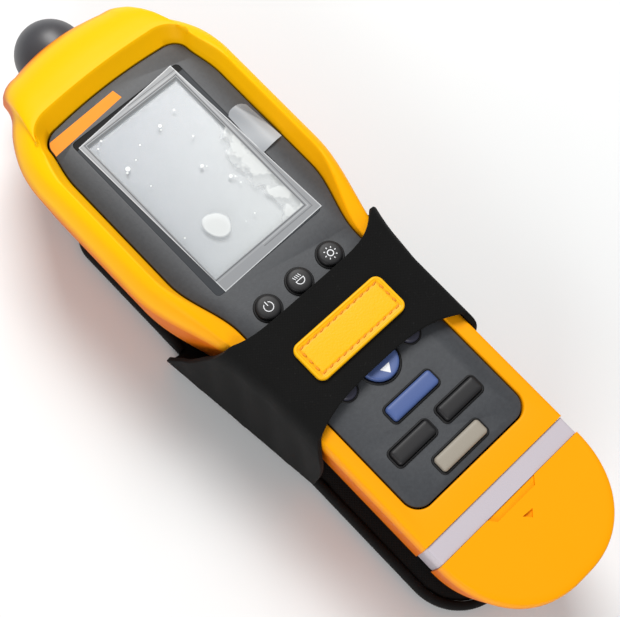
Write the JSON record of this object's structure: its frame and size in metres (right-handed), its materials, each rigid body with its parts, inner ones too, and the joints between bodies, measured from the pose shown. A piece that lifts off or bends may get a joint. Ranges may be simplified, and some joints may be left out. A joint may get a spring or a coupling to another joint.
{
  "type": "handheld vibration meter",
  "caption": "Handheld vibration meter with a wide head, capped sensor nose, display and keypad, lying in a belt holster with an elastic band.",
  "frame": {"origin": "on the table under the middle of the meter", "axes": "+Z out of the face panel, +Y towards the sensor cap, +X to the right of the display"},
  "size_m": [0.0776, 0.242, 0.052],
  "materials": {
    "yellow_shell": "satin yellow, warmer on the bevel inside the rim",
    "panel_grey": "fine matte",
    "window_clear": "clear with a dark printed border",
    "film_clear": "clear film with small bubbles",
    "display_glass": "pale display behind its polariser",
    "light_guide": "milky",
    "circuit_green": "solder mask",
    "silicone_grey": "matte",
    "key_black": "satin",
    "key_dark": "satin",
    "key_blue": "satin",
    "key_grey": "satin warm grey",
    "steel": "bright",
    "contact_brass": "polished",
    "cap_rubber": "smooth",
    "seal_rubber": "matte",
    "lens_dark": "dark filter",
    "plastic_black": "fine matte",
    "ring_pale": "translucent, frosted",
    "cell_wrap": "plain wrap",
    "holster_fabric": "fine woven face over foam",
    "binding_tape": "ribbed tape",
    "band_elastic": "ribbed elastic",
    "patch_yellow": "matte, stitched edge",
    "loop_webbing": "woven webbing"
  },
  "bodies": {
    "meter": {"front_housing": "yellow_shell", "rear_housing": "yellow_shell", "housing_seal": "seal_rubber", "housing_screws": "steel", "face_panel": "panel_grey", "display_lens": "window_clear", "screen_film": "film_clear", "lcd_module": "display_glass", "lcd_backlight": "light_guide", "main_board": "circuit_green", "keypad_mat": "silicone_grey", "sensor_tip": "steel", "sensor_body": "steel", "sensor_grommet": "seal_rubber", "ir_lens": "lens_dark", "torch_lens": "window_clear", "usb_socket": "steel", "audio_jack": "plastic_black", "sensor_socket": "contact_brass", "light_ring": "ring_pale", "battery_tray": "plastic_black", "batteries": "cell_wrap", "battery_springs": "steel"},
    "power_button": {"power_button": "key_black"},
    "torch_button": {"torch_button": "key_black"},
    "backlight_button": {"backlight_button": "key_black"},
    "left_key": {"left_key": "key_dark"},
    "right_key": {"right_key": "key_dark"},
    "enter_key": {"enter_key": "key_blue"},
    "memory_key": {"memory_key": "key_black"},
    "save_key": {"save_key": "key_black"},
    "setup_key": {"setup_key": "key_grey"},
    "nav_key": {"nav_key": "key_blue"},
    "sensor_cap": {"sensor_cap": "cap_rubber"},
    "battery_door": {"battery_door": "yellow_shell", "door_contact": "steel"},
    "holster": {"holster_pad": "holster_fabric", "pad_binding": "binding_tape", "holster_band": "band_elastic", "band_patch": "patch_yellow", "belt_loop": "loop_webbing"}
  },
  "joints": [
    {"name": "power_button_press", "type": "slide", "parent": "meter", "child": "power_button", "axis": [0, 0, 1], "range_m": [-0.0006, 0], "stiffness_N_per_m": 2500},
    {"name": "torch_button_press", "type": "slide", "parent": "meter", "child": "torch_button", "axis": [0, 0, 1], "range_m": [-0.0006, 0], "stiffness_N_per_m": 2500},
    {"name": "backlight_button_press", "type": "slide", "parent": "meter", "child": "backlight_button", "axis": [0, 0, 1], "range_m": [-0.0006, 0], "stiffness_N_per_m": 2500},
    {"name": "left_key_press", "type": "slide", "parent": "meter", "child": "left_key", "axis": [0, 0, 1], "range_m": [-0.0006, 0], "stiffness_N_per_m": 2500},
    {"name": "right_key_press", "type": "slide", "parent": "meter", "child": "right_key", "axis": [0, 0, 1], "range_m": [-0.0006, 0], "stiffness_N_per_m": 2500},
    {"name": "enter_key_press", "type": "slide", "parent": "meter", "child": "enter_key", "axis": [0, 0, 1], "range_m": [-0.0006, 0], "stiffness_N_per_m": 2500},
    {"name": "memory_key_press", "type": "slide", "parent": "meter", "child": "memory_key", "axis": [0, 0, 1], "range_m": [-0.0006, 0], "stiffness_N_per_m": 2500},
    {"name": "save_key_press", "type": "slide", "parent": "meter", "child": "save_key", "axis": [0, 0, 1], "range_m": [-0.0006, 0], "stiffness_N_per_m": 2500},
    {"name": "setup_key_press", "type": "slide", "parent": "meter", "child": "setup_key", "axis": [0, 0, 1], "range_m": [-0.0006, 0], "stiffness_N_per_m": 2500},
    {"name": "nav_key_tilt", "type": "hinge", "parent": "meter", "child": "nav_key", "pos_m": [0, -0.0374, 0.04325], "axis": [1, 0, 0], "range_deg": [-4, 4], "stiffness_Nm_per_rad": 0.12},
    {"name": "sensor_cap_pull", "type": "slide", "parent": "meter", "child": "sensor_cap", "axis": [0, 1, 0], "range_m": [0, 0.03]},
    {"name": "battery_door_pull", "type": "slide", "parent": "meter", "child": "battery_door", "axis": [0, -1, 0], "range_m": [0, 0.05]},
    {"name": "holster_pull", "type": "slide", "parent": "meter", "child": "holster", "axis": [0, -1, 0], "range_m": [0, 0.14]}
  ]
}
